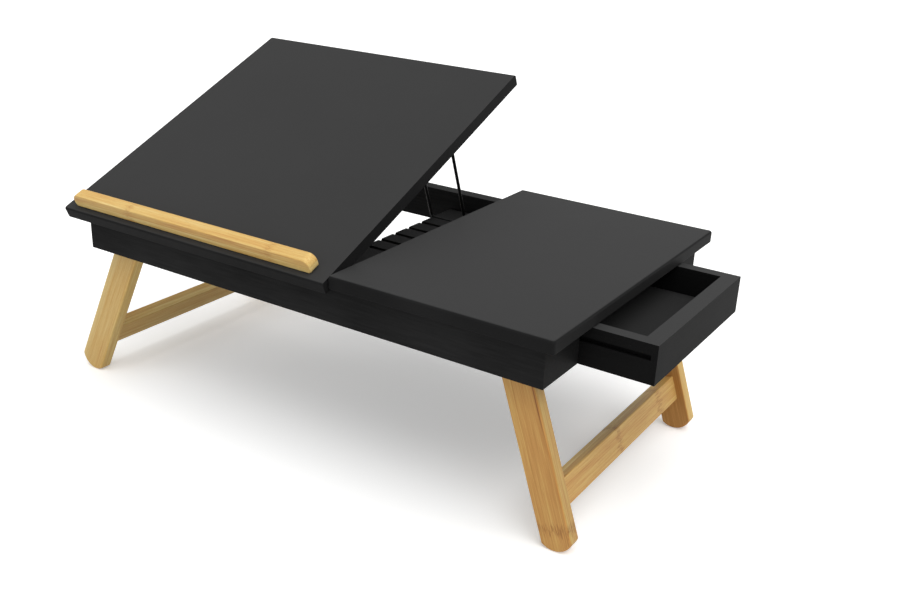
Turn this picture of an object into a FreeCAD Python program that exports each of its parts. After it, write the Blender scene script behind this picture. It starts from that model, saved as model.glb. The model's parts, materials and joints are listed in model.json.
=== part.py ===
import FreeCAD, Part
import Sketcher
import os

# Bed-tray laptop stand: a shallow painted box frame on two splayed pairs of bamboo legs.
# The right part of the top is fixed over a side drawer, the left part is hinged along its
# front edge and propped from below by a wire strut that stands in a grooved board.
# +X runs towards the drawer, -Y towards the user, +Z up, z = 0 on the floor.

SIZES = (
    ("base_length", 520.0, "frame, outside, along X"),
    ("base_depth", 318.0, "frame, outside, along Y"),
    ("base_middle_x", -5.7, "X of the frame's middle"),
    ("base_middle_y", 2.1, "Y of the frame's middle"),
    ("floor_gap", 156.5, "floor to the underside of the frame"),
    ("rail_height", 36.0, "height of every frame board"),
    ("rail_thickness", 15.0, "front and rear rails"),
    ("left_rail_thickness", 12.0, "left rail"),
    ("right_end_thickness", 20.0, "blocks beside the drawer opening"),
    ("cross_rail_thickness", 15.0, "rail under the fixed top's inner edge"),
    ("cross_rail_set_back", 2.0, "fixed top's inner edge to the cross rail"),
    ("seam_offset", 54.5, "frame's middle to the fixed top's inner edge"),
    ("seam_gap", 1.5, "gap between the two tops"),
    ("top_thickness", 12.0, "both tops"),
    ("front_overhang", 9.5, "fixed top past the front rail"),
    ("tilt_front_overhang", 12.2, "tilting top past the front rail, and past its hinge axis"),
    ("rear_overhang", 11.0, "tops past the rear rail"),
    ("left_overhang", 19.5, "tilting top past the left rail"),
    ("right_overhang", 11.5, "fixed top past the right end"),
    ("top_edge_radius", 2.4, "rounding of the tops' upper arrises"),
    ("top_lower_radius", 1.2, "rounding of the tops' lower arrises"),
    ("top_corner_radius", 3.2, "rounding of the tops' outer corners"),
    ("tilt_angle", 23.4, "tilting top at rest, degrees from level"),
    ("ledge_length", 302.7, "stop ledge along X"),
    ("ledge_height", 14.0, "stop ledge above the top"),
    ("ledge_thickness", 12.5, "stop ledge along the top's depth"),
    ("ledge_set_back", 6.7, "top's front edge to the ledge"),
    ("ledge_offset", -1.8, "tilting top's middle to the ledge's middle"),
    ("ledge_edge_radius", 1.5, "rounding of the ledge's arrises"),
    ("ledge_end_radius", 7.5, "rounding of the ledge's upper ends"),
    ("ledge_foot_radius", 4.0, "rounding of the ledge's lower ends"),
    ("rack_width", 79.3, "grooved board along X"),
    ("rack_thickness", 12.0, "grooved board"),
    ("rack_drop", 20.0, "rail top to the grooved board's top"),
    ("groove_radius", 2.8, "half-round strut grooves"),
    ("groove_pitch", 24.5, "groove to groove"),
    ("groove_rear_margin", 35.5, "rear rail to the rearmost groove"),
    ("groove_clearance", 0.3, "strut wire above the groove bed"),
    ("wire_diameter", 3.4, "strut wire"),
    ("strut_spacing", 44.0, "between the strut's two legs"),
    ("strut_offset", -1.9, "frame's middle to the strut's middle"),
    ("strut_pivot_reach", 241.5, "hinge to strut pivot along the top"),
    ("strut_pivot_drop", 4.5, "top's underside to the strut pivot"),
    ("strut_bend_radius", 5.0, "bends of the strut's centre line"),
    ("strut_pin_length", 10.0, "out-turned ends of the strut"),
    ("bracket_ear_gap", 0.5, "strut's upper bend to the bracket ear"),
    ("bracket_plate", 1.5, "strut bracket sheet"),
    ("bracket_length", 16.0, "strut bracket foot along X"),
    ("bracket_width", 17.0, "strut bracket foot along the top's depth"),
    ("bracket_ear_width", 9.0, "strut bracket ear along the top's depth"),
    ("bracket_ear_margin", 3.5, "strut pivot to the ear's lower edge"),
    ("bracket_screw_place", 11.0, "bracket ear to its screws"),
    ("bracket_screw_spacing", 9.0, "the two screws of one bracket"),
    ("hinge_length", 50.0, "butt hinge along X"),
    ("hinge_leaf_width", 13.0, "hinge axis to the leaf's edge"),
    ("hinge_leaf", 1.2, "hinge leaf sheet"),
    ("knuckle_radius", 2.5, "hinge barrel"),
    ("knuckle_room", 0.5, "room cut around the barrel"),
    ("knuckle_gap", 0.3, "between neighbouring knuckles"),
    ("hinge_pin_radius", 1.2, "hinge pin"),
    ("hinge_left_inset", 90.0, "tilting top's left edge to the left hinge's middle"),
    ("hinge_seam_inset", 80.0, "tilting top's right edge to the right hinge's middle"),
    ("hinge_screw_spacing", 30.0, "the two screws of one leaf"),
    ("hinge_screw_place", 7.5, "hinge axis to the leaf screws"),
    ("small_screw_radius", 1.5, "screw shank"),
    ("small_screw_length", 8.5, "screw shank in the wood"),
    ("small_head_radius", 2.8, "screw head"),
    ("small_head_height", 1.0, "screw head"),
    ("long_screw_radius", 2.0, "screw shank"),
    ("top_screw_length", 24.0, "shank of a fixed top's screw"),
    ("top_screw_inset", 18.0, "drawer's sides to the cross rail's top screws"),
    ("ledge_screw_length", 18.0, "shank of a ledge screw"),
    ("ledge_screw_spread", 140.0, "ledge's middle to its outer screws"),
    ("long_head_radius", 4.0, "screw head"),
    ("long_head_height", 2.4, "screw head"),
    ("screw_bite", 9.0, "long screw's reach into the piece it holds"),
    ("leg_width", 30.0, "leg across X"),
    ("leg_thickness", 14.0, "leg across Y"),
    ("leg_arris_radius", 2.0, "rounding of the legs' arrises"),
    ("foot_sag", 8.0, "foot's arc, middle past its ends"),
    ("foot_corner_radius", 3.0, "rounding where the foot's arc meets the leg's sides"),
    ("leg_side_gap", 4.0, "rail to leg"),
    ("leg_pivot_rise", 18.0, "frame underside to the leg pivot"),
    ("left_leg_angle", 26.0, "left legs, degrees from upright"),
    ("right_leg_angle", 19.0, "right legs, degrees from upright"),
    ("leg_stop_gap", 0.3, "leg side to the end board it stops on"),
    ("stretcher_height", 25.0, "stretcher along the leg"),
    ("stretcher_thickness", 14.0, "stretcher across the leg"),
    ("stretcher_arris_radius", 1.2, "rounding of the stretchers' long edges"),
    ("stretcher_rise", 14.5, "centre of the foot's arc to the stretcher's lower edge"),
    ("stretcher_dowel_spacing", 12.0, "the two dowels of one stretcher end"),
    ("pivot_radius", 3.5, "leg pivot bolt's shoulder"),
    ("running_clearance", 0.05, "round things that turn in a hole"),
    ("fixed_clearance", 0.05, "round things glued or screwed in a hole"),
    ("washer_radius", 8.0, "leg spacer"),
    ("face_clearance", 0.15, "between faces that turn past each other"),
    ("bolt_head_radius", 6.5, "leg pivot bolt"),
    ("bolt_head_height", 3.5, "leg pivot bolt"),
    ("bolt_thread_radius", 2.9, "leg pivot bolt's end"),
    ("insert_radius", 4.5, "threaded insert, outside"),
    ("insert_length", 11.0, "threaded insert"),
    ("dowel_radius", 3.0, "frame dowels"),
    ("dowel_length", 20.0, "frame dowels"),
    ("dowel_spacing", 16.0, "the two dowels of one frame joint"),
    ("rack_dowel_inset", 15.0, "grooved board's edges to its dowels"),
    ("small_dowel_radius", 2.5, "rack, drawer and stretcher dowels"),
    ("small_dowel_length", 16.0, "rack, drawer and stretcher dowels"),
    ("hole_end_room", 0.5, "blind hole past the dowel's end"),
    ("drawer_near_inset", 60.15, "frame's front face to the drawer's near side"),
    ("drawer_far_inset", 64.55, "frame's rear face to the drawer's far side"),
    ("drawer_length", 186.0, "drawer, outside, along X"),
    ("drawer_top_gap", 0.8, "drawer to the fixed top's underside"),
    ("drawer_side_gap", 0.5, "drawer side to its runner"),
    ("drawer_front_thickness", 15.0, "drawer front"),
    ("drawer_side_thickness", 12.0, "drawer sides"),
    ("drawer_back_thickness", 12.0, "drawer back"),
    ("drawer_bottom_thickness", 4.0, "drawer bottom panel"),
    ("drawer_bottom_rise", 5.0, "drawer's lower edge to the bottom panel"),
    ("drawer_bottom_lap", 5.0, "bottom panel let into the boards"),
    ("panel_clearance", 0.2, "bottom panel in its grooves"),
    ("drawer_open", 67.7, "drawer at rest, past the frame's end"),
    ("slot_rise", 20.6, "drawer's lower edge to the runner slot"),
    ("slot_height", 4.9, "runner slot"),
    ("slot_depth", 5.0, "runner slot"),
    ("slot_front_end", 5.5, "drawer front's face to the slot's closed end"),
    ("slot_rear_end", 12.0, "drawer back's face to the slot's closed end"),
    ("strip_clearance", 0.3, "runner strip in the slot, above and below"),
    ("strip_reach", 4.2, "runner strip in the slot, depth"),
    ("strip_length", 60.0, "runner strip"),
    ("strip_seat", 5.0, "runner strip let into the runner board"),
    ("runner_thickness", 14.0, "runner boards beside the drawer"),
    ("runner_dowel_spacing", 22.0, "the two dowels of one runner end"),
    ("strip_screw_spacing", 24.0, "the two screws of one runner strip"),
    ("drawer_dowel_rise", 13.0, "drawer's lower edge to the lower dowels"),
    ("drawer_dowel_spacing", 17.5, "the two dowels of one drawer corner"),
)

os.makedirs("parts", exist_ok=True)
doc = FreeCAD.newDocument("laptop_stand")
sheet = doc.addObject("Spreadsheet::Sheet", "dim")
for number, (alias, value, note) in enumerate(SIZES, start=1):
    sheet.set("A%d" % number, note)
    sheet.set("B%d" % number, str(value))
    sheet.setAlias("B%d" % number, alias)
doc.recompute()

ALONG_X = FreeCAD.Rotation(FreeCAD.Vector(0, 1, 0), 90)
ALONG_Y = FreeCAD.Rotation(FreeCAD.Vector(1, 0, 0), -90)
ALONG_Z = FreeCAD.Rotation()

# Places shared by several pieces, as expressions on the sheet.
LEFT = "(dim.base_middle_x - dim.base_length / 2)"
RIGHT = "(dim.base_middle_x + dim.base_length / 2)"
FRONT = "(dim.base_middle_y - dim.base_depth / 2)"
REAR = "(dim.base_middle_y + dim.base_depth / 2)"
FRONT_INNER = "(dim.base_middle_y - dim.base_depth / 2 + dim.rail_thickness)"
REAR_INNER = "(dim.base_middle_y + dim.base_depth / 2 - dim.rail_thickness)"
BETWEEN_RAILS = "(dim.base_depth - 2 * dim.rail_thickness)"
UNDERSIDE = "dim.floor_gap"
RAIL_TOP = "(dim.floor_gap + dim.rail_height)"
FIXED_DEPTH = "(dim.base_depth + dim.front_overhang + dim.rear_overhang)"
TILT_DEPTH = "(dim.base_depth + dim.tilt_front_overhang + dim.rear_overhang)"
TILT_LEFT = "(dim.base_middle_x - dim.base_length / 2 - dim.left_overhang)"
SEAM = "(dim.base_middle_x + dim.seam_offset)"
TILT_RIGHT = "(%s - dim.seam_gap)" % SEAM
CROSS_LEFT = "(%s + dim.cross_rail_set_back)" % SEAM
CROSS_RIGHT = "(%s + dim.cross_rail_thickness)" % CROSS_LEFT
END_INNER = "(%s - dim.right_end_thickness)" % RIGHT
RACK_TOP = "(dim.floor_gap + dim.rail_height - dim.rack_drop)"
DRAWER_NEAR = "(%s + dim.drawer_near_inset)" % FRONT
DRAWER_FAR = "(%s - dim.drawer_far_inset)" % REAR
DRAWER_FACE = "(%s + dim.drawer_open)" % RIGHT
DRAWER_HEIGHT = "(dim.rail_height - dim.drawer_top_gap)"
STRUT_MIDDLE = "(dim.base_middle_x + dim.strut_offset)"
HINGE_PLACES = (
    ("left", "(%s + dim.hinge_left_inset)" % TILT_LEFT),
    ("right", "(%s - dim.hinge_seam_inset)" % TILT_RIGHT),
)

nodes = []


def bind(item, **texts):
    for name, text in texts.items():
        item.setExpression(name.replace("__", "."), str(text))
    return item


def place(item, x="0", y="0", z="0"):
    item.setExpression("Placement.Base.x", "(%s) * 1mm" % x)
    item.setExpression("Placement.Base.y", "(%s) * 1mm" % y)
    item.setExpression("Placement.Base.z", "(%s) * 1mm" % z)
    return item


def box(name, at, size):
    item = doc.addObject("Part::Box", name)
    bind(item, Length=size[0], Width=size[1], Height=size[2])
    return place(item, *at)


def rod(name, turn, at, radius, length):
    item = doc.addObject("Part::Cylinder", name)
    item.Placement.Rotation = turn
    bind(item, Radius=radius, Height=length)
    return place(item, *at)


def group(name, items):
    item = doc.addObject("Part::Compound", name)
    item.Links = items
    return item


def join(name, items):
    item = doc.addObject("Part::MultiFuse", name)
    item.Shapes = items
    return item


def cut(name, base, tools):
    item = doc.addObject("Part::Cut", name)
    item.Base = base
    item.Tool = tools[0] if len(tools) == 1 else group(name + "_tools", tools)
    return item


def node(item, label):
    item.Label = label
    nodes.append(item)
    return item


def origin_plane(body, role):
    for feature in body.Origin.OriginFeatures:
        if feature.Role == role:
            return feature
    raise ValueError(role)


def sketch_on(body, name, role, offset):
    sketch = body.newObject("Sketcher::SketchObject", name)
    sketch.AttachmentSupport = [(origin_plane(body, role), "")]
    sketch.MapMode = "FlatFace"
    for axis, text in zip("xyz", offset):
        sketch.setExpression("AttachmentOffset.Base." + axis, "(%s) * 1mm" % text)
    return sketch


def draw_rectangle(sketch, width, height):
    corners = [(0, 0), (40, 0), (40, 20), (0, 20)]
    for one, two in zip(corners, corners[1:] + corners[:1]):
        start = FreeCAD.Vector(one[0], one[1], 0)
        end = FreeCAD.Vector(two[0], two[1], 0)
        sketch.addGeometry(Part.LineSegment(start, end), False)
    for side in range(4):
        sketch.addConstraint(Sketcher.Constraint("Coincident", side, 2, (side + 1) % 4, 1))
    for side, kind in enumerate(("Horizontal", "Vertical", "Horizontal", "Vertical")):
        sketch.addConstraint(Sketcher.Constraint(kind, side))
    sketch.addConstraint(Sketcher.Constraint("Coincident", 0, 1, -1, 1))
    across = sketch.addConstraint(Sketcher.Constraint("DistanceX", 0, 1, 0, 2, 40))
    upward = sketch.addConstraint(Sketcher.Constraint("DistanceY", 1, 1, 1, 2, 20))
    sketch.setExpression("Constraints[%d]" % across, width)
    sketch.setExpression("Constraints[%d]" % upward, height)


def block_body(name, at, size):
    body = doc.addObject("PartDesign::Body", name)
    sketch = sketch_on(body, name + "_outline", "XY_Plane", at)
    draw_rectangle(sketch, size[0], size[1])
    pad = body.newObject("PartDesign::Pad", name + "_pad")
    pad.Profile = sketch
    bind(pad, Length=size[2])
    doc.recompute()
    return body


def edges_where(shape, test):
    return ["Edge%d" % (i + 1) for i, edge in enumerate(shape.Edges) if test(edge)]


def round_edges(body, name, radius, test):
    base = body.Tip
    names = ["Edge%d" % (i + 1) for i, edge in enumerate(base.Shape.Edges) if test(edge)]
    fillet = body.newObject("PartDesign::Fillet", name)
    fillet.Base = (base, names)
    bind(fillet, Radius=radius)
    doc.recompute()
    return body


def upright(edge):
    return edge.BoundBox.ZLength > 1


def rod_along(name, axis, centre, low, high, radius):
    turn = {"x": ALONG_X, "y": ALONG_Y, "z": ALONG_Z}[axis]
    at = list(centre)
    at.insert("xyz".index(axis), low)
    return rod(name, turn, at, radius, "(%s) - (%s)" % (high, low))


def dowel_row(name, axis, centres, middle, kind):
    """Blind holes and the dowels in them, each half in either board, about a joint at middle."""
    radius = "dim.%s_radius" % kind
    half = "dim.%s_length / 2" % kind
    dowels = []
    holes = []
    for number, centre in enumerate(centres, start=1):
        title = "%s_%d" % (name, number)
        low = "%s - %s" % (middle, half)
        high = "%s + %s" % (middle, half)
        dowels.append(rod_along(title, axis, centre, low, high, radius))
        low = "%s - dim.hole_end_room" % low
        high = "%s + dim.hole_end_room" % high
        wide = "%s + dim.fixed_clearance" % radius
        holes.append(rod_along(title + "_hole", axis, centre, low, high, wide))
    return dowels, holes


def frame_dowels():
    """Dowels along Y between the long rails and the boards that stand between them."""
    rises = ["%s + dim.rail_height / 2 %s dim.dowel_spacing / 2" % (UNDERSIDE, sign) for sign in "-+"]
    places = (
        "%s + dim.left_rail_thickness / 2" % LEFT,
        "%s - dim.cross_rail_thickness / 2" % CROSS_RIGHT,
        "%s - dim.right_end_thickness / 2" % RIGHT,
    )
    centres = [(x, z) for x in places for z in rises]
    rack_z = "%s - dim.rack_thickness / 2" % RACK_TOP
    rack_centres = (
        ("%s - dim.rack_dowel_inset" % CROSS_LEFT, rack_z),
        ("%s - dim.rack_width + dim.rack_dowel_inset" % CROSS_LEFT, rack_z),
    )
    holes = {}
    big = []
    small = []
    for side, middle in (("front", FRONT_INNER), ("rear", REAR_INNER)):
        dowels, drilled = dowel_row("frame_dowel_" + side, "y", centres, middle, "dowel")
        thin, thin_drilled = dowel_row("rack_dowel_" + side, "y", rack_centres, middle, "small_dowel")
        big += dowels
        small += thin
        holes[side] = drilled + thin_drilled
    node(group("frame_dowels", big), "frame_dowels")
    node(group("rack_dowels", small), "rack_dowels")
    return holes


def pivot_x(side):
    slope = "(dim.%s_leg_angle)" % side
    room = ("(dim.leg_stop_gap + dim.leg_width / 2 / cos(%s) + dim.leg_pivot_rise * tan(%s))"
            % (slope, slope))
    if side == "left":
        return "(%s + dim.left_rail_thickness + %s)" % (LEFT, room)
    return "(%s - %s)" % (END_INNER, room)


PIVOT_Z = "(dim.floor_gap + dim.leg_pivot_rise)"
LEG_OUTER = "(dim.base_depth / 2 - dim.rail_thickness - dim.leg_side_gap)"
LEG_INNER = "(dim.base_depth / 2 - dim.rail_thickness - dim.leg_side_gap - dim.leg_thickness)"


def along_y(name, side, x, z, near, far, radius):
    """A rod from near to far, both measured from the frame's middle, in front or behind it."""
    first, last, sign = (far, near, "-") if side == "front" else (near, far, "+")
    low = "dim.base_middle_y %s (%s)" % (sign, first)
    high = "dim.base_middle_y %s (%s)" % (sign, last)
    return rod_along(name, "y", (x, z), low, high, radius)


def leg_pivots():
    """Bolts, inserts and spacers that carry the legs on the long rails."""
    inserts = []
    spacers = []
    bolts = []
    holes = {"front": [], "rear": []}
    rail_face = "(dim.base_depth / 2 - dim.rail_thickness)"
    head_at = "(%s - dim.face_clearance)" % LEG_INNER
    for side in ("front", "rear"):
        for pair in ("left", "right"):
            title = "%s_%s_pivot" % (pair, side)
            at = (side, pivot_x(pair), PIVOT_Z)
            deep = "(%s + dim.insert_length)" % rail_face
            thread = "dim.bolt_thread_radius"
            outside = along_y(title + "_insert_outside", *at, rail_face, deep, "dim.insert_radius")
            bore = along_y(title + "_insert_bore", *at, rail_face, deep,
                           thread + " + dim.fixed_clearance")
            inserts.append(cut(title + "_insert", outside, [bore]))
            holes[side].append(along_y(title + "_rail_hole", *at, rail_face, deep,
                                       "dim.insert_radius + dim.fixed_clearance"))
            collar_end = "(%s + dim.face_clearance)" % LEG_OUTER
            ring = along_y(title + "_ring", *at, collar_end, rail_face, "dim.washer_radius")
            eye = along_y(title + "_eye", *at, collar_end, rail_face,
                          "dim.pivot_radius + dim.fixed_clearance")
            spacers.append(cut(title + "_spacer", ring, [eye]))
            bolts.append(join(title + "_bolt", [
                along_y(title + "_thread", *at, rail_face, "%s - dim.hole_end_room" % deep, thread),
                along_y(title + "_shoulder", *at, head_at, rail_face, "dim.pivot_radius"),
                along_y(title + "_head", *at, "%s - dim.bolt_head_height" % head_at, head_at,
                        "dim.bolt_head_radius"),
            ]))
    node(group("leg_inserts", inserts), "leg_inserts")
    node(group("leg_spacers", spacers), "leg_spacers")
    node(group("leg_pivot_bolts", bolts), "leg_pivot_bolts")
    return holes


def hinge_screw_places(middle):
    return ["%s %s dim.hinge_screw_spacing / 2" % (middle, sign) for sign in "-+"]


def barrel(name, middle, y, z, first, last, radius):
    """A rod about the hinge axis from first to last third of the hinge, gaps included."""
    third = "dim.hinge_length / 3"
    low = "%s + (%s) * %s" % (middle, first, third)
    high = "%s + (%s) * %s" % (middle, last, third)
    return rod_along(name, "x", (y, z), low, high, radius)


def hinges():
    """Two butt hinges: leaves let into the rail's top and the tilting top's underside."""
    rail_cuts = []
    top_cuts = []
    frame_screws = []
    top_screws = []
    pins = []
    wide = "dim.knuckle_radius + dim.knuckle_room"
    shank = "dim.small_screw_radius"
    hole = shank + " + dim.fixed_clearance"
    head = "dim.small_head_radius"
    for side, middle in HINGE_PLACES:
        title = "hinge_" + side
        start = "%s - dim.hinge_length / 2" % middle
        leaf = ("dim.hinge_length", "dim.hinge_leaf_width", "dim.hinge_leaf")
        gap = "3 * dim.knuckle_gap / dim.hinge_length"

        frame_at = (start, FRONT, "%s - dim.hinge_leaf" % RAIL_TOP)
        axis = (middle, FRONT, RAIL_TOP)
        frame_leaf = join(title + "_frame_leaf_blank", [
            box(title + "_frame_plate", frame_at, leaf),
            barrel(title + "_frame_knuckle_1", *axis, "-1.5", "-0.5 - " + gap, "dim.knuckle_radius"),
            barrel(title + "_frame_knuckle_2", *axis, "0.5 + " + gap, "1.5", "dim.knuckle_radius"),
        ])
        frame_tools = [
            barrel(title + "_frame_room", *axis, "-0.5 - " + gap, "0.5 + " + gap, wide),
            barrel(title + "_frame_bore", *axis, "-2", "2", "dim.hinge_pin_radius + dim.fixed_clearance"),
        ]
        pins.append(barrel(title + "_pin", *axis, "-1.5", "1.5", "dim.hinge_pin_radius"))

        top_axis = (middle, "0", "0")
        top_leaf = join(title + "_top_leaf_blank", [
            box(title + "_top_plate", (start, "0", "0"), leaf),
            barrel(title + "_top_knuckle", *top_axis, "-0.5", "0.5", "dim.knuckle_radius"),
        ])
        top_tools = [
            barrel(title + "_top_room_1", *top_axis, "-2", "-0.5", wide),
            barrel(title + "_top_room_2", *top_axis, "0.5", "2", wide),
            barrel(title + "_top_bore", *top_axis, "-2", "2",
                   "dim.hinge_pin_radius + dim.running_clearance"),
        ]

        for number, x in enumerate(hinge_screw_places(middle), start=1):
            name = "%s_frame_screw_%d" % (title, number)
            centre = (x, "%s + dim.hinge_screw_place" % FRONT)
            seat = "%s - dim.hinge_leaf" % RAIL_TOP
            low = "%s - dim.small_screw_length" % seat
            frame_screws.append(join(name, [
                rod_along(name + "_shank", "z", centre, low, seat, shank),
                rod_along(name + "_head", "z", centre, seat, seat + " + dim.small_head_height", head),
            ]))
            rail_cuts.append(rod_along(name + "_hole", "z", centre, low, seat, hole))
            frame_tools.append(rod_along(name + "_eye", "z", centre, seat, RAIL_TOP,
                                         head + " + dim.fixed_clearance"))

            name = "%s_top_screw_%d" % (title, number)
            centre = (x, "dim.hinge_screw_place")
            seat = "dim.hinge_leaf"
            high = "%s + dim.small_screw_length" % seat
            top_screws.append(join(name, [
                rod_along(name + "_shank", "z", centre, seat, high, shank),
                rod_along(name + "_head", "z", centre, seat + " - dim.small_head_height", seat, head),
            ]))
            top_cuts.append(rod_along(name + "_hole", "z", centre, seat, high, hole))
            top_tools.append(rod_along(name + "_eye", "z", centre, "0", seat,
                                       head + " + dim.fixed_clearance"))

        rail_cuts.append(box(title + "_rail_seat", frame_at, leaf))
        rail_cuts.append(barrel(title + "_rail_room", *axis, "-1.5 - " + gap, "1.5 + " + gap, wide))
        top_cuts.append(box(title + "_top_seat", (start, "0", "0"), leaf))
        top_cuts.append(barrel(title + "_top_notch", *top_axis, "-1.5 - " + gap, "1.5 + " + gap, wide))
        node(cut(title + "_frame_leaf", frame_leaf, frame_tools), title + "_frame_leaf")
        on_top(node(cut(title + "_top_leaf", top_leaf, top_tools), title + "_top_leaf"))
    node(group("hinge_pins", pins), "hinge_pins")
    node(group("hinge_frame_screws", frame_screws), "hinge_frame_screws")
    on_top(node(group("hinge_top_screws", top_screws), "hinge_top_screws"))
    return rail_cuts, top_cuts


def on_top(item):
    """Carries a piece drawn about the hinge axis, top lying level, to the tilted place."""
    item.Placement.Rotation = FreeCAD.Rotation(FreeCAD.Vector(1, 0, 0), 10)
    item.setExpression("Placement.Rotation.Angle", "dim.tilt_angle")
    return place(item, "0", FRONT, RAIL_TOP)


def long_rails(pivot_holes, dowel_holes, hinge_cuts):
    size = ("dim.base_length", "dim.rail_thickness", "dim.rail_height")
    front = box("front_rail_board", (LEFT, FRONT, UNDERSIDE), size)
    rear = box("rear_rail_board", (LEFT, REAR_INNER, UNDERSIDE), size)
    node(cut("front_rail", front, pivot_holes["front"] + dowel_holes["front"] + hinge_cuts), "front_rail")
    node(cut("rear_rail", rear, pivot_holes["rear"] + dowel_holes["rear"]), "rear_rail")


def short_boards(dowel_holes, runner_holes, top_screw_cuts, strips):
    """Boards that stand between the long rails."""
    holes = dowel_holes["front"] + dowel_holes["rear"]
    left = box("left_rail_board", (LEFT, FRONT_INNER, UNDERSIDE),
               ("dim.left_rail_thickness", BETWEEN_RAILS, "dim.rail_height"))
    cross = box("cross_rail_board", (CROSS_LEFT, FRONT_INNER, UNDERSIDE),
                ("dim.cross_rail_thickness", BETWEEN_RAILS, "dim.rail_height"))
    node(cut("left_rail", left, holes), "left_rail")
    node(cut("cross_rail", cross, holes + runner_holes + top_screw_cuts), "cross_rail")
    for name, low, high in (
        ("right_end_near", FRONT_INNER, "(%s - dim.drawer_side_gap)" % DRAWER_NEAR),
        ("right_end_far", "(%s + dim.drawer_side_gap)" % DRAWER_FAR, REAR_INNER),
    ):
        block = box(name + "_block", (END_INNER, low, UNDERSIDE),
                    ("dim.right_end_thickness", "%s - %s" % (high, low), "dim.rail_height"))
        node(cut(name, block, holes + runner_holes + top_screw_cuts + strips), name)


def rack(dowel_holes):
    """Board with half-round grooves along X in its top, for the strut's foot."""
    left = "(%s - dim.rack_width)" % CROSS_LEFT
    board = box("rack_board", (left, FRONT_INNER, "%s - dim.rack_thickness" % RACK_TOP),
                ("dim.rack_width", BETWEEN_RAILS, "dim.rack_thickness"))
    grooves = []
    for number in range(6):
        y = "%s - dim.groove_rear_margin - %d * dim.groove_pitch" % (REAR_INNER, number)
        grooves.append(rod_along("groove_%d" % (number + 1), "x", (y, RACK_TOP),
                                 "%s - 1" % left, "%s + 1" % CROSS_LEFT, "dim.groove_radius"))
    node(cut("notched_rack", board, grooves + dowel_holes["front"] + dowel_holes["rear"]), "notched_rack")


def round_panel(body, name, outer):
    """Corners, then upper and lower arrises, wherever outer() holds."""
    upper = body.Shape.BoundBox.ZMax - 0.01
    lower = body.Shape.BoundBox.ZMin + 0.01
    round_edges(body, name + "_corners", "dim.top_corner_radius",
                lambda edge: upright(edge) and outer(edge))
    round_edges(body, name + "_upper_arrises", "dim.top_edge_radius",
                lambda edge: edge.BoundBox.ZMin > upper and outer(edge))
    round_edges(body, name + "_lower_arrises", "dim.top_lower_radius",
                lambda edge: edge.BoundBox.ZMax < lower and outer(edge))


def fixed_top():
    """Right part of the top: outer arrises and corners rounded, inner edge square."""
    y = "%s - dim.front_overhang" % FRONT
    length = "%s + dim.right_overhang - %s" % (RIGHT, SEAM)
    body = block_body("fixed_top_board", (SEAM, y, RAIL_TOP),
                      (length, FIXED_DEPTH, "dim.top_thickness"))
    inner = body.Shape.BoundBox.XMin + 0.01
    round_panel(body, "fixed_top", lambda edge: edge.BoundBox.XMax > inner)
    return body


def top_screws():
    """Screws driven up through the cross rail and the end blocks into the fixed top."""
    near = "(%s + %s - dim.drawer_side_gap) / 2" % (FRONT_INNER, DRAWER_NEAR)
    far = "(%s + %s + dim.drawer_side_gap) / 2" % (REAR_INNER, DRAWER_FAR)
    cross = "%s - dim.cross_rail_thickness / 2" % CROSS_RIGHT
    block = "%s - dim.right_end_thickness / 2" % RIGHT
    places = (
        (cross, "%s + dim.top_screw_inset" % DRAWER_NEAR),
        (cross, "%s - dim.top_screw_inset" % DRAWER_FAR),
        (block, near),
        (block, far),
    )
    tip = "%s + dim.screw_bite" % RAIL_TOP
    seat = "%s - dim.top_screw_length" % tip
    screws = []
    cuts = []
    for number, centre in enumerate(places, start=1):
        name = "top_screw_%d" % number
        screws.append(join(name, [
            rod_along(name + "_shank", "z", centre, seat, tip, "dim.long_screw_radius"),
            rod_along(name + "_head", "z", centre, seat + " - dim.long_head_height", seat,
                      "dim.long_head_radius"),
        ]))
        cuts.append(rod_along(name + "_hole", "z", centre, seat, tip,
                              "dim.long_screw_radius + dim.fixed_clearance"))
        cuts.append(rod_along(name + "_well", "z", centre, UNDERSIDE, seat,
                              "dim.long_head_radius + dim.fixed_clearance"))
    node(group("top_panel_screws", screws), "top_panel_screws")
    return cuts


def tilt_top(hinge_cuts, bracket_cuts, ledge_cuts):
    """Left part of the top, drawn level about the hinge axis; its seam edge is square."""
    length = "%s - %s" % (TILT_RIGHT, TILT_LEFT)
    body = block_body("tilt_top_board", (TILT_LEFT, "-dim.tilt_front_overhang", "0"),
                      (length, TILT_DEPTH, "dim.top_thickness"))
    inner = body.Shape.BoundBox.XMax - 0.01
    round_panel(body, "tilt_top", lambda edge: edge.BoundBox.XMin < inner)
    return on_top(node(cut("tilt_top_panel", body, hinge_cuts + bracket_cuts + ledge_cuts), "tilt_top_panel"))


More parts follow.
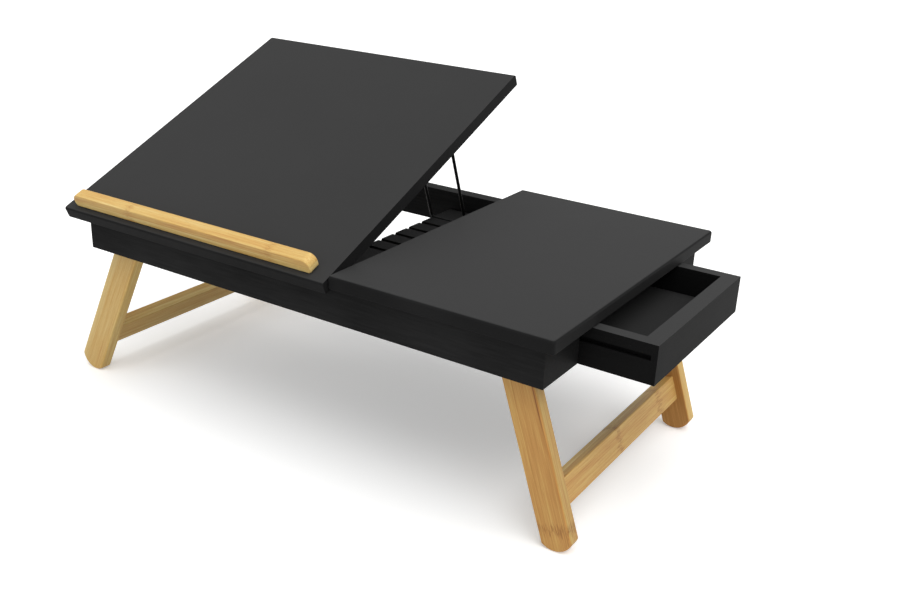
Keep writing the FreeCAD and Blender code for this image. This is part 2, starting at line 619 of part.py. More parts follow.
def ledge():
    """Bamboo stop ledge on the tilting top, screwed from below."""
    middle = "((%s + %s) / 2 + dim.ledge_offset)" % (TILT_LEFT, TILT_RIGHT)
    front = "(dim.ledge_set_back - dim.tilt_front_overhang)"
    body = block_body("ledge_board", ("%s - dim.ledge_length / 2" % middle, front, "dim.top_thickness"),
                      ("dim.ledge_length", "dim.ledge_thickness", "dim.ledge_height"))
    upper = body.Shape.BoundBox.ZMax - 0.01
    lower = body.Shape.BoundBox.ZMin + 0.01
    round_edges(body, "ledge_ends", "dim.ledge_end_radius",
                lambda edge: edge.BoundBox.YLength > 1 and edge.BoundBox.ZMin > upper)
    round_edges(body, "ledge_feet", "dim.ledge_foot_radius",
                lambda edge: edge.BoundBox.YLength > 1 and edge.BoundBox.ZMax < lower)
    round_edges(body, "ledge_arrises", "dim.ledge_edge_radius",
                lambda edge: edge.BoundBox.YLength < 0.1)
    tip = "dim.top_thickness + dim.screw_bite"
    seat = "%s - dim.ledge_screw_length" % tip
    screws = []
    cuts = []
    for number, offset in enumerate(("-dim.ledge_screw_spread", "0", "dim.ledge_screw_spread"), start=1):
        name = "ledge_screw_%d" % number
        centre = ("%s + %s" % (middle, offset), "%s + dim.ledge_thickness / 2" % front)
        screws.append(join(name, [
            rod_along(name + "_shank", "z", centre, seat, tip, "dim.long_screw_radius"),
            rod_along(name + "_head", "z", centre, seat + " - dim.long_head_height", seat,
                      "dim.long_head_radius"),
        ]))
        cuts.append(rod_along(name + "_hole", "z", centre, seat, tip,
                              "dim.long_screw_radius + dim.fixed_clearance"))
        cuts.append(rod_along(name + "_well", "z", centre, "0", seat,
                              "dim.long_head_radius + dim.fixed_clearance"))
    on_top(node(cut("stop_ledge", body, cuts), "stop_ledge"))
    on_top(node(group("ledge_screws", screws), "ledge_screws"))
    return cuts


def strut_brackets():
    """Two bent sheet brackets under the tilting top that hold the strut's out-turned ends."""
    brackets = []
    screws = []
    cuts = []
    reach = "dim.strut_pivot_reach"
    foot_y = "%s - dim.bracket_width / 2" % reach
    ear_y = "%s - dim.bracket_ear_width / 2" % reach
    ear_depth = "(dim.strut_pivot_drop + dim.bracket_ear_margin)"
    for side, sign in (("left", "-"), ("right", "+")):
        name = "strut_bracket_" + side
        ear_face = ("(%s %s (dim.strut_spacing / 2 + dim.strut_bend_radius"
                    " + dim.bracket_ear_gap))" % (STRUT_MIDDLE, sign))
        ear_x = ear_face if sign == "+" else "%s - dim.bracket_plate" % ear_face
        foot_x = ear_face if sign == "+" else "%s - dim.bracket_length" % ear_face
        blank = join(name + "_blank", [
            box(name + "_foot", (foot_x, foot_y, "-dim.bracket_plate"),
                ("dim.bracket_length", "dim.bracket_width", "dim.bracket_plate")),
            box(name + "_ear", (ear_x, ear_y, "-" + ear_depth),
                ("dim.bracket_plate", "dim.bracket_ear_width", ear_depth)),
        ])
        tools = [rod_along(name + "_bore", "x", (reach, "-dim.strut_pivot_drop"), ear_x + " - 1",
                           ear_x + " + dim.bracket_plate + 1",
                           "dim.wire_diameter / 2 + dim.running_clearance")]
        for number, turn in ((1, "-"), (2, "+")):
            title = "%s_screw_%d" % (name, number)
            centre = ("%s %s dim.bracket_screw_place" % (ear_face, sign),
                      "%s %s dim.bracket_screw_spacing / 2" % (reach, turn))
            tip = "dim.small_screw_length - dim.bracket_plate"
            low = "-dim.bracket_plate"
            screws.append(join(title, [
                rod_along(title + "_shank", "z", centre, low, tip, "dim.small_screw_radius"),
                rod_along(title + "_head", "z", centre, low + " - dim.small_head_height", low,
                          "dim.small_head_radius"),
            ]))
            hole = rod_along(title + "_hole", "z", centre, low + " - 1", tip,
                             "dim.small_screw_radius + dim.fixed_clearance")
            tools.append(hole)
            cuts.append(hole)
        brackets.append(cut(name, blank, tools))
    on_top(node(group("strut_brackets", brackets), "strut_brackets"))
    on_top(node(group("strut_bracket_screws", screws), "strut_bracket_screws"))
    return cuts


# Strut pivot and foot, seen from the hinge axis: along Y, then up.
PIVOT_OUT = "(dim.strut_pivot_reach * cos(dim.tilt_angle) + dim.strut_pivot_drop * sin(dim.tilt_angle))"
PIVOT_UP = "(dim.strut_pivot_reach * sin(dim.tilt_angle) - dim.strut_pivot_drop * cos(dim.tilt_angle))"
FOOT_OUT = "(dim.base_depth - dim.rail_thickness - dim.groove_rear_margin)"
FOOT_UP = "(dim.wire_diameter / 2 + dim.groove_clearance - dim.groove_radius - dim.rack_drop)"
STRUT_LENGTH = "(sqrt((%s - %s) ^ 2 + (%s - %s) ^ 2))" % (FOOT_OUT, PIVOT_OUT, PIVOT_UP, FOOT_UP)
STRUT_ANGLE = "atan2(%s - %s; %s - %s)" % (FOOT_OUT, PIVOT_OUT, PIVOT_UP, FOOT_UP)


def draw_bail(sketch):
    """U of straight runs and round bends, hanging from the sketch's X axis, ends turned out."""
    reach, half, depth, bend = 33.0, 24.0, 120.0, 5.0
    points = {
        0: ((-reach, 0), (-half - bend, 0)),
        1: ((-half, -bend), (-half, -depth + bend)),
        2: ((-half + bend, -depth), (half - bend, -depth)),
        3: ((half, -depth + bend), (half, -bend)),
        4: ((half + bend, 0), (reach, 0)),
    }
    for start, end in points.values():
        line = Part.LineSegment(FreeCAD.Vector(start[0], start[1], 0), FreeCAD.Vector(end[0], end[1], 0))
        sketch.addGeometry(line, False)
    quarter = 1.5707963267948966
    bends = (
        (-half - bend, -bend, 0.0),
        (-half + bend, -depth + bend, 2 * quarter),
        (half - bend, -depth + bend, 3 * quarter),
        (half + bend, -bend, quarter),
    )
    up = FreeCAD.Vector(0, 0, 1)
    for x, y, start in bends:
        circle = Part.Circle(FreeCAD.Vector(x, y, 0), up, bend)
        sketch.addGeometry(Part.ArcOfCircle(circle, start, start + quarter), False)
    for line, arc, line_end, arc_end in (
        (0, 5, 2, 2), (1, 5, 1, 1), (1, 6, 2, 1), (2, 6, 1, 2),
        (2, 7, 2, 1), (3, 7, 1, 2), (3, 8, 2, 2), (4, 8, 1, 1),
    ):
        sketch.addConstraint(Sketcher.Constraint("Tangent", line, line_end, arc, arc_end))
    for arc in (6, 7, 8):
        sketch.addConstraint(Sketcher.Constraint("Equal", 5, arc))
    sketch.addConstraint(Sketcher.Constraint("Vertical", 1))
    sketch.addConstraint(Sketcher.Constraint("Vertical", 3))
    sketch.addConstraint(Sketcher.Constraint("Horizontal", 0))
    sketch.addConstraint(Sketcher.Constraint("Horizontal", 4))
    sketch.addConstraint(Sketcher.Constraint("PointOnObject", 0, 1, -1))
    sketch.addConstraint(Sketcher.Constraint("Symmetric", 0, 1, 4, 2, -2))
    sketch.addConstraint(Sketcher.Constraint("Symmetric", 1, 2, 3, 1, -2))
    sizes = (
        ("Radius", (5,), bend, "dim.strut_bend_radius"),
        ("DistanceX", (1, 1, 3, 2), 2 * half, "dim.strut_spacing"),
        ("DistanceX", (0, 1, 1, 1), reach - half, "dim.strut_pin_length"),
        ("DistanceY", (2, 1, -1, 1), depth, STRUT_LENGTH),
    )
    for kind, where, value, text in sizes:
        number = sketch.addConstraint(Sketcher.Constraint(kind, *where, value))
        sketch.setExpression("Constraints[%d]" % number, text)


def strut():
    """Bent wire strut: hangs from the brackets and stands in the rearmost groove."""
    body = doc.addObject("PartDesign::Body", "strut_wire")
    spine = sketch_on(body, "strut_centre_line", "XZ_Plane", ("0", "0", "0"))
    draw_bail(spine)
    start = "-dim.strut_spacing / 2 - dim.strut_pin_length"
    section = sketch_on(body, "strut_section", "YZ_Plane", ("0", "0", start))
    section.addGeometry(Part.Circle(FreeCAD.Vector(0, 0, 0), FreeCAD.Vector(0, 0, 1), 1.7), False)
    section.addConstraint(Sketcher.Constraint("Coincident", 0, 3, -1, 1))
    across = section.addConstraint(Sketcher.Constraint("Diameter", 0, 3.4))
    section.setExpression("Constraints[%d]" % across, "dim.wire_diameter")
    doc.recompute()
    pipe = body.newObject("PartDesign::AdditivePipe", "strut_bend")
    pipe.Profile = section
    pipe.Spine = (spine, ["Edge%d" % (i + 1) for i in range(len(spine.Shape.Edges))])
    doc.recompute()
    body.Placement.Rotation = FreeCAD.Rotation(FreeCAD.Vector(1, 0, 0), 10)
    body.setExpression("Placement.Rotation.Angle", STRUT_ANGLE)
    place(body, STRUT_MIDDLE, "%s + %s" % (FRONT, PIVOT_OUT), "%s + %s" % (RAIL_TOP, PIVOT_UP))
    return node(body, "strut_wire")


def splayed(item, side):
    """Carries a piece of a leg pair, drawn upright about the pivot axis, to its place."""
    angle = "dim.left_leg_angle" if side == "left" else "-dim.right_leg_angle"
    item.Placement.Rotation = FreeCAD.Rotation(FreeCAD.Vector(0, 1, 0), 10)
    item.setExpression("Placement.Rotation.Angle", angle)
    return place(item, pivot_x(side), "dim.base_middle_y", PIVOT_Z)


FOOT_RADIUS = "((dim.leg_width ^ 2 / 4 + dim.foot_sag ^ 2) / (2 * dim.foot_sag))"


def leg_length(side):
    """Pivot to the centre of the foot's arc, which stands right above its touching point."""
    return "((dim.floor_gap + dim.leg_pivot_rise - %s) / cos(dim.%s_leg_angle))" % (FOOT_RADIUS, side)


def draw_leg(sketch, length):
    """Two straight sides, a half circle about the pivot and a flatter arc for the foot."""
    half, deep, foot_radius, foot_turn = 15.0, 170.0, 18.0, 0.5857
    end = -deep - 9.95
    pi = 3.141592653589793
    up = FreeCAD.Vector(0, 0, 1)
    top = Part.Circle(FreeCAD.Vector(0, 0, 0), up, half)
    foot = Part.Circle(FreeCAD.Vector(0, -deep, 0), up, foot_radius)
    sketch.addGeometry(Part.ArcOfCircle(top, 0, pi), False)
    sketch.addGeometry(Part.LineSegment(FreeCAD.Vector(-half, 0, 0), FreeCAD.Vector(-half, end, 0)), False)
    sketch.addGeometry(Part.ArcOfCircle(foot, pi + foot_turn, 2 * pi - foot_turn), False)
    sketch.addGeometry(Part.LineSegment(FreeCAD.Vector(half, end, 0), FreeCAD.Vector(half, 0, 0)), False)
    sketch.addConstraint(Sketcher.Constraint("Tangent", 0, 2, 1, 1))
    sketch.addConstraint(Sketcher.Constraint("Tangent", 3, 2, 0, 1))
    sketch.addConstraint(Sketcher.Constraint("Coincident", 1, 2, 2, 1))
    sketch.addConstraint(Sketcher.Constraint("Coincident", 2, 2, 3, 1))
    sketch.addConstraint(Sketcher.Constraint("Coincident", 0, 3, -1, 1))
    sketch.addConstraint(Sketcher.Constraint("PointOnObject", 2, 3, -2))
    sketch.addConstraint(Sketcher.Constraint("Vertical", 1))
    sketch.addConstraint(Sketcher.Constraint("Vertical", 3))
    for kind, where, value, text in (
        ("Radius", (0,), half, "dim.leg_width / 2"),
        ("Radius", (2,), foot_radius, FOOT_RADIUS),
        ("DistanceY", (2, 3, 0, 3), deep, length),
    ):
        number = sketch.addConstraint(Sketcher.Constraint(kind, *where, value))
        sketch.setExpression("Constraints[%d]" % number, text)


def leg_pair(side):
    length = leg_length(side)
    low = "(-%s + dim.stretcher_rise)" % length
    bar = block_body(side + "_stretcher_bar",
                     ("-dim.stretcher_thickness / 2", "-%s" % LEG_INNER, low),
                     ("dim.stretcher_thickness", "2 * %s" % LEG_INNER, "dim.stretcher_height"))
    round_edges(bar, side + "_stretcher_arrises", "dim.stretcher_arris_radius",
                lambda edge: edge.BoundBox.YLength > edge.BoundBox.XLength + edge.BoundBox.ZLength)
    middle = "%s + dim.stretcher_height / 2" % low
    centres = [("0", "%s %s dim.stretcher_dowel_spacing / 2" % (middle, sign)) for sign in "-+"]
    dowels = []
    drilled = []
    for end, face in (("front", "-%s" % LEG_INNER), ("rear", LEG_INNER)):
        made, holes = dowel_row("%s_stretcher_dowel_%s" % (side, end), "y", centres, face, "small_dowel")
        dowels += made
        drilled += holes
        body = doc.addObject("PartDesign::Body", "%s_%s_leg_bar" % (side, end))
        outer = LEG_OUTER if end == "front" else "-" + LEG_INNER
        sketch = sketch_on(body, "%s_%s_leg_outline" % (side, end), "XZ_Plane", ("0", "0", outer))
        draw_leg(sketch, length)
        pad = body.newObject("PartDesign::Pad", "%s_%s_leg_pad" % (side, end))
        pad.Profile = sketch
        pad.Reversed = True
        bind(pad, Length="dim.leg_thickness")
        doc.recompute()
        halfway = body.Shape.BoundBox.ZMin / 2
        round_edges(body, "%s_%s_foot_corners" % (side, end), "dim.foot_corner_radius",
                    lambda edge: edge.BoundBox.YLength > 1 and edge.BoundBox.ZMax < halfway)
        round_edges(body, "%s_%s_leg_arrises" % (side, end), "dim.leg_arris_radius",
                    lambda edge: edge.BoundBox.YLength < 0.1)
        eye = rod_along("%s_%s_leg_eye" % (side, end), "y", ("0", "0"), "-dim.base_depth / 2",
                        "dim.base_depth / 2", "dim.pivot_radius + dim.running_clearance")
        name = "%s_%s_leg" % (side, end)
        splayed(node(cut(name, body, [eye] + holes), name), side)
    splayed(node(cut(side + "_stretcher", bar, drilled), side + "_stretcher"), side)
    splayed(node(group(side + "_stretcher_dowels", dowels), side + "_stretcher_dowels"), side)


STRIP_LOW = "(dim.floor_gap + dim.slot_rise + dim.strip_clearance)"
STRIP_FRONT = "(%s - dim.slot_front_end - dim.strip_clearance)" % RIGHT


def runners():
    """Boards beside the drawer, with the strips that the drawer's slots ride on."""
    z = ["%s + dim.rail_height / 2 %s dim.runner_dowel_spacing / 2" % (UNDERSIDE, sign) for sign in "-+"]
    holes = []
    dowels = []
    strips = []
    screws = []
    boards = []
    for side, sign in (("near", "-"), ("far", "+")):
        edge = DRAWER_NEAR if side == "near" else DRAWER_FAR
        face = "(%s %s dim.drawer_side_gap)" % (edge, sign)
        back = "(%s %s dim.runner_thickness)" % (face, sign)
        low, high = (back, face) if side == "near" else (face, back)
        board = box("runner_%s_board" % side, (CROSS_RIGHT, low, UNDERSIDE),
                    ("%s - %s" % (END_INNER, CROSS_RIGHT), "%s - %s" % (high, low), "dim.rail_height"))
        centres = [("(%s + %s) / 2" % (low, high), text) for text in z]
        for end, middle in (("inner", CROSS_RIGHT), ("outer", END_INNER)):
            made, drilled = dowel_row("runner_dowel_%s_%s" % (side, end), "x", centres, middle,
                                      "small_dowel")
            dowels += made
            holes += drilled
        seat = "(%s %s dim.strip_seat)" % (face, sign)
        tip = "(%s %s dim.strip_reach)" % (edge, "+" if side == "near" else "-")
        strip_low, strip_high = (seat, tip) if side == "near" else (tip, seat)
        strip = box("runner_strip_%s_bar" % side,
                    ("%s - dim.strip_length" % STRIP_FRONT, strip_low, STRIP_LOW),
                    ("dim.strip_length", "%s - %s" % (strip_high, strip_low),
                     "dim.slot_height - 2 * dim.strip_clearance"))
        drilled = []
        middle = "((%s - dim.strip_length + %s) / 2)" % (STRIP_FRONT, END_INNER)
        for number, turn in ((1, "-"), (2, "+")):
            name = "strip_screw_%s_%d" % (side, number)
            centre = ("%s %s dim.strip_screw_spacing / 2" % (middle, turn),
                      "%s + dim.slot_height / 2 - dim.strip_clearance" % STRIP_LOW)
            reach = "%s %s dim.strip_reach / 2" % (seat, "+" if side == "near" else "-")
            out = "%s %s dim.small_head_height" % (back, sign)
            shank = (back, reach) if side == "near" else (reach, back)
            head = (out, back) if side == "near" else (back, out)
            screws.append(join(name, [
                rod_along(name + "_shank", "y", centre, *shank, "dim.long_screw_radius / 2"),
                rod_along(name + "_head", "y", centre, *head, "dim.small_head_radius"),
            ]))
            drilled.append(rod_along(name + "_hole", "y", centre, *shank,
                                     "dim.long_screw_radius / 2 + dim.fixed_clearance"))
        strips.append(strip)
        boards.append((side, board, drilled))
        node(cut("runner_strip_" + side, strip, drilled), "runner_strip_" + side)
    for side, board, drilled in boards:
        node(cut("runner_" + side, board, holes + strips + drilled), "runner_" + side)
    node(group("runner_dowels", dowels), "runner_dowels")
    node(group("runner_strip_screws", screws), "runner_strip_screws")
    return holes, strips


def drawer():
    """Drawer box: sides and back behind a front, bottom panel in grooves, a slot along each side."""
    back = "(%s - dim.drawer_length)" % DRAWER_FACE
    inner_front = "(%s - dim.drawer_front_thickness)" % DRAWER_FACE
    inner_back = "(%s + dim.drawer_back_thickness)" % back
    near_in = "(%s + dim.drawer_side_thickness)" % DRAWER_NEAR
    far_in = "(%s - dim.drawer_side_thickness)" % DRAWER_FAR
    slot_low = "(%s + dim.slot_rise)" % UNDERSIDE
    slot_length = "dim.drawer_length - dim.slot_front_end - dim.slot_rear_end"
    slots = []
    for side, y in (("near", "%s - 1" % DRAWER_NEAR), ("far", "%s - dim.slot_depth" % DRAWER_FAR)):
        slots.append(box("drawer_slot_" + side, ("%s + dim.slot_rear_end" % back, y, slot_low),
                         (slot_length, "dim.slot_depth + 1", "dim.slot_height")))
    panel_low = "(%s + dim.drawer_bottom_rise)" % UNDERSIDE
    lap = "dim.drawer_bottom_lap"
    spare = "dim.panel_clearance"

    def panel_box(name, margin, grow):
        return box(name, ("%s - (%s)" % (inner_back, margin), "%s - (%s)" % (near_in, margin),
                          "%s - %s" % (panel_low, grow)),
                   ("%s - %s + 2 * (%s)" % (inner_front, inner_back, margin),
                    "%s - %s + 2 * (%s)" % (far_in, near_in, margin),
                    "dim.drawer_bottom_thickness + 2 * (%s)" % grow))

    groove = panel_box("drawer_bottom_groove", lap, spare)
    node(panel_box("drawer_bottom_board", "%s - %s" % (lap, spare), "0"), "drawer_bottom")

    rises = ("%s + dim.drawer_dowel_rise" % UNDERSIDE,
             "%s + dim.drawer_dowel_rise + dim.drawer_dowel_spacing" % UNDERSIDE)
    half_side = "dim.drawer_side_thickness / 2"
    side_middles = ("%s + %s" % (DRAWER_NEAR, half_side), "%s - %s" % (DRAWER_FAR, half_side))
    front_centres = [(y, z) for y in side_middles for z in rises]
    dowels, holes = dowel_row("drawer_front_dowel", "x", front_centres, inner_front, "small_dowel")
    back_centres = [("%s + dim.drawer_back_thickness / 2" % back, z) for z in rises]
    for side, face in (("near", near_in), ("far", far_in)):
        made, drilled = dowel_row("drawer_back_dowel_" + side, "y", back_centres, face, "small_dowel")
        dowels += made
        holes += drilled

    boards = (
        ("drawer_front", (inner_front, DRAWER_NEAR, UNDERSIDE),
         ("dim.drawer_front_thickness", "%s - %s" % (DRAWER_FAR, DRAWER_NEAR), DRAWER_HEIGHT)),
        ("drawer_side_near", (back, DRAWER_NEAR, UNDERSIDE),
         ("dim.drawer_length - dim.drawer_front_thickness", "dim.drawer_side_thickness", DRAWER_HEIGHT)),
        ("drawer_side_far", (back, far_in, UNDERSIDE),
         ("dim.drawer_length - dim.drawer_front_thickness", "dim.drawer_side_thickness", DRAWER_HEIGHT)),
        ("drawer_back", (back, near_in, UNDERSIDE),
         ("dim.drawer_back_thickness", "%s - %s" % (far_in, near_in), DRAWER_HEIGHT)),
    )
    for name, at, size in boards:
        node(cut(name, box(name + "_board", at, size), [groove] + slots + holes), name)
    node(group("drawer_dowels", dowels), "drawer_dowels")


def check_and_write():
    doc.recompute()
    for item in doc.Objects:
        if "Invalid" in item.State or "Error" in item.State:
            raise RuntimeError("%s is %s" % (item.Name, item.State))
        shape = getattr(item, "Shape", None)
        if shape is not None and item.isDerivedFrom("Part::Feature"):
            if shape.isNull() or not shape.isValid():
                raise RuntimeError("%s has no valid shape" % item.Name)
    for item in nodes:
        item.Shape.exportStep("parts/%s.step" % item.Label)


frame_holes = frame_dowels()
pivot_holes = leg_pivots()
rail_cuts, top_cuts = hinges()
long_rails(pivot_holes, frame_holes, rail_cuts)
runner_holes, runner_strips = runners()
screw_cuts = top_screws()
short_boards(frame_holes, runner_holes, screw_cuts, runner_strips)
rack(frame_holes)
fixed_panel = fixed_top()
node(cut("fixed_top_panel", fixed_panel, screw_cuts), "fixed_top_panel")
tilt_top(top_cuts, strut_brackets(), ledge())
strut()
leg_pair("left")
leg_pair("right")
drawer()
check_and_write()
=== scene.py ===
import json
import math

import bpy
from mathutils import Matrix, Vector

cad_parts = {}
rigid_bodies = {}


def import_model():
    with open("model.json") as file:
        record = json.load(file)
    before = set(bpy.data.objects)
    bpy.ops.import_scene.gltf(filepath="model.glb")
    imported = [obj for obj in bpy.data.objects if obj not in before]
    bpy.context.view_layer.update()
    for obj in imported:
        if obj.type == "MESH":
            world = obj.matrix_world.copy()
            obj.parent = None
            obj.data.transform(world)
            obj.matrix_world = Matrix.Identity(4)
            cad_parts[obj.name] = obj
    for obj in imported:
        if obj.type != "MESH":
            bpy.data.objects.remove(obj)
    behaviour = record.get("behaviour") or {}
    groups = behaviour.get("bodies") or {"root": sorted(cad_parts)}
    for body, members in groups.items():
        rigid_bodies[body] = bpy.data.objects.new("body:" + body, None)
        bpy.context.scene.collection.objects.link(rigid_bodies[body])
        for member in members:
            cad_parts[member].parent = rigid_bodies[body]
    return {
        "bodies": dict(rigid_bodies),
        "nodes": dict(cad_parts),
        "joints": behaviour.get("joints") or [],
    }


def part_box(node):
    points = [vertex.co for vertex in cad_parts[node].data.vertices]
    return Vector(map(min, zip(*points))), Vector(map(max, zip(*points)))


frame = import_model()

# Looks of the laptop stand: black painted boards, laminated bamboo, wire strut and steel fasteners,
# on a pale floor under soft light. Metres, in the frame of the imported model.

keep = set(frame["nodes"].values()) | set(frame["bodies"].values())
for item in list(bpy.data.objects):
    if item not in keep:
        bpy.data.objects.remove(item)

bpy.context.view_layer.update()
NODES = frame["nodes"]
JOINTS = {joint["name"]: joint for joint in frame["joints"]}
X, Y, Z = Vector((1, 0, 0)), Vector((0, 1, 0)), Vector((0, 0, 1))

# The tilting top's slope as the photograph shows it, and the two splays of the legs.
TILT_ANGLE = math.radians(23.4)
TOP_ALONG_DEPTH = Vector((0.0, math.cos(TILT_ANGLE), math.sin(TILT_ANGLE)))
TOP_NORMAL = Vector((0.0, -math.sin(TILT_ANGLE), math.cos(TILT_ANGLE)))
SPLAY = {"left": math.radians(26.0), "right": math.radians(-19.0)}

FAR_OFF = 9.0    # a place that no piece reaches, for a mark that a board doesn't have
BLACK = (0.0, 0.0, 0.0, 1.0)
WHITE = (1.0, 1.0, 1.0, 1.0)


# ---------------------------------------------------------------- node helpers
class Tree:
    """Short calls for building a shader tree or a group."""

    def __init__(self, tree):
        self.tree = tree

    def node(self, kind, **settings):
        made = self.tree.nodes.new(kind)
        for name, value in settings.items():
            setattr(made, name, value)
        return made

    def feed(self, socket, value):
        if isinstance(value, bpy.types.NodeSocket):
            self.tree.links.new(value, socket)
        elif value is not None:
            socket.default_value = value

    def math(self, operation, one, two=None, clamp=False):
        made = self.node("ShaderNodeMath", operation=operation, use_clamp=clamp)
        self.feed(made.inputs[0], one)
        self.feed(made.inputs[1], two)
        return made.outputs[0]

    def plus(self, one, two, clamp=False):
        return self.math("ADD", one, two, clamp)

    def minus(self, one, two):
        return self.math("SUBTRACT", one, two)

    def times(self, one, two):
        return self.math("MULTIPLY", one, two)

    def swing(self, value, share):
        """A value from 0 to 1, turned into a swing about zero that is as wide as share."""
        return self.times(self.minus(value, 0.5), share)

    def vector(self, operation, one, two):
        made = self.node("ShaderNodeVectorMath", operation=operation)
        self.feed(made.inputs[0], one)
        self.feed(made.inputs[1], two)
        return made.outputs["Value"] if operation == "DOT_PRODUCT" else made.outputs[0]

    def join(self, x, y, z):
        made = self.node("ShaderNodeCombineXYZ")
        for socket, value in zip(made.inputs, (x, y, z)):
            self.feed(socket, value)
        return made.outputs[0]

    def ramp(self, value, low, high, out_low=0.0, out_high=1.0):
        """Smooth step of value from low to high."""
        made = self.node("ShaderNodeMapRange", interpolation_type="SMOOTHSTEP")
        for socket, number in zip(made.inputs[:5], (value, low, high, out_low, out_high)):
            self.feed(socket, number)
        return made.outputs[0]

    def noise(self, at, scale=1.0, detail=2.0, roughness=0.5):
        made = self.node("ShaderNodeTexNoise")
        self.feed(made.inputs["Vector"], at)
        made.inputs["Scale"].default_value = scale
        made.inputs["Detail"].default_value = detail
        made.inputs["Roughness"].default_value = roughness
        return made.outputs[0]

    def white(self, at):
        made = self.node("ShaderNodeTexWhiteNoise")
        self.feed(made.inputs["Vector"], at)
        return made.outputs["Value"]

    def mix(self, factor, one, two):
        made = self.node("ShaderNodeMix", data_type="RGBA")
        self.feed(made.inputs[0], factor)
        self.feed(made.inputs[6], one)
        self.feed(made.inputs[7], two)
        return made.outputs[2]

    def colours(self, value, *stops):
        made = self.node("ShaderNodeValToRGB")
        elements = made.color_ramp.elements
        while len(elements) < len(stops):
            elements.new(0.5)
        for element, (place, colour) in zip(elements, stops):
            element.position = place
            element.color = (*colour, 1.0)
        self.feed(made.inputs[0], value)
        return made.outputs[0]

    def group(self, tree, **values):
        made = self.node("ShaderNodeGroup", node_tree=tree)
        for name, value in values.items():
            self.feed(made.inputs[name.replace("_", " ")], value)
        return made.outputs

    def place(self):
        """The place on the piece, which moves with it."""
        return self.node("ShaderNodeTexCoord").outputs["Object"]

    def outward(self):
        """The direction that the surface faces on the piece."""
        return self.node("ShaderNodeTexCoord").outputs["Normal"]


def material(name):
    made = bpy.data.materials.new(name)
    made.use_nodes = True
    made.node_tree.nodes.clear()
    tree = Tree(made.node_tree)
    out = tree.node("ShaderNodeOutputMaterial")
    surface = tree.node("ShaderNodeBsdfPrincipled")
    tree.feed(out.inputs["Surface"], surface.outputs[0])
    return made, tree, surface


def finish(tree, surface, colour, roughness, height, bump, **constants):
    """Feeds colour, roughness and a bump of that depth in metres to the surface."""
    tree.feed(surface.inputs["Base Color"], colour)
    tree.feed(surface.inputs["Roughness"], roughness)
    relief = tree.node("ShaderNodeBump")
    relief.inputs["Strength"].default_value = 1.0
    relief.inputs["Distance"].default_value = bump
    tree.feed(relief.inputs["Height"], height)
    tree.feed(surface.inputs["Normal"], relief.outputs[0])
    for name, value in constants.items():
        surface.inputs[name.replace("_", " ")].default_value = value


# ---------------------------------------------------------------- bamboo
BAMBOO_TONES = ((0.05, (0.43, 0.193, 0.043)), (0.35, (0.59, 0.310, 0.087)),
                (0.62, (0.685, 0.450, 0.140)), (0.95, (0.77, 0.592, 0.250)))
BUNDLE_BROWN = (0.42, 0.20, 0.055, 1.0)
MARK_FAINT = (0.70, 0.33, 0.065, 1.0)
MARK_STRONG = (0.27, 0.110, 0.030, 1.0)
RING_BROWN = (0.36, 0.16, 0.043, 1.0)
GLUE_BROWN = (0.40, 0.20, 0.06, 1.0)
CRACK_BROWN = (0.19, 0.060, 0.014, 1.0)

# Waves per metre along and across the grain, then the noise's detail and roughness.
DRIFT = (7.0, 55.0, 1.0, 0.5)
STREAKS = (6.0, 330.0, 3.0, 0.6)
FIBRES = (26.0, 1150.0, 3.0, 0.6)
BUNDLES = (170.0, 2600.0, 1.0, 0.5)
DASHES = (110.0, 1500.0, 2.0, 0.5)
# How far each of them swings the tone, and how far one strip's tone is from the next one's.
DRIFT_SHARE, STREAK_SHARE, FIBRE_SHARE, STRIP_SHARE = 0.30, 0.85, 1.10, 0.24

STRIP_START = 0.37      # where the first glue line lies, in strips from the middle
PLY_START = 100.0       # keeps the count of plies above zero
OTHER_DRAW = (3.7, 9.1, 5.3)    # moves a strip's place in the white noise, for a second number
STRIP_SLIDE = 40.0      # how far the grain of one strip is slid against the next, in waves

# Each mark is full up to its core's distance from its own line and gone at its end's, in metres.
MARK_CORE, MARK_END = 0.0028, 0.0072
RING_CORE, RING_END = 0.0003, 0.0013
GLUE_CORE, GLUE_END = 0.00005, 0.0003
CRACK_CORE, CRACK_END, CRACK_FADE = 0.0002, 0.0009, 0.030
MARK_WANDER, WANDER_WAVES = 0.020, 330.0
PLY_LINE = 0.0001       # half the width over which one ply's tone turns into the other's

# How strongly each of them colours the wood, and between which values of noise bundles and dashes come up.
BUNDLE_TINT, RING_TINT, GLUE_TINT, CRACK_TINT = 0.32, 0.42, 0.30, 0.8
BUNDLE_FROM, BUNDLE_FULL = 0.60, 0.70
DASH_FROM, DASH_FULL = 0.44, 0.60

# Shares of the relief, then the roughness and how far fibres add to it, then how squarely a face looks
# across the strips where it starts to count as an edge face, and where it fully does.
FIBRE_RISE, RING_RISE, BUNDLE_DIP, GLUE_DIP = 0.6, 0.5, 0.25, 0.7
BAMBOO_ROUGH, FIBRE_ROUGH = 0.42, 0.16
EDGE_FROM, EDGE_FULL = 0.60, 0.85
BAMBOO_RELIEF, BAMBOO_SHEEN = 0.00006, 0.3
BAMBOO_INPUTS = ("Along", "Across", "Through", "Seed", "Knot A", "Knot B", "Mark", "Strip", "Ply", "Contrast",
                 "Tone", "Crack Across", "Crack Above")


def knot_marks(t, got, wander):
    """1 in the marks about the nodes of the cane, and 1 on the thin rings at their middles."""
    marks = rings = None
    for name in ("Knot A", "Knot B"):
        off = t.math("ABSOLUTE", t.plus(t.minus(got["Along"], got[name]), wander))
        mark = t.ramp(off, MARK_CORE, MARK_END, 1.0, 0.0)
        ring = t.ramp(off, RING_CORE, RING_END, 1.0, 0.0)
        marks = mark if marks is None else t.math("MAXIMUM", marks, mark)
        rings = ring if rings is None else t.math("MAXIMUM", rings, ring)
    return marks, rings


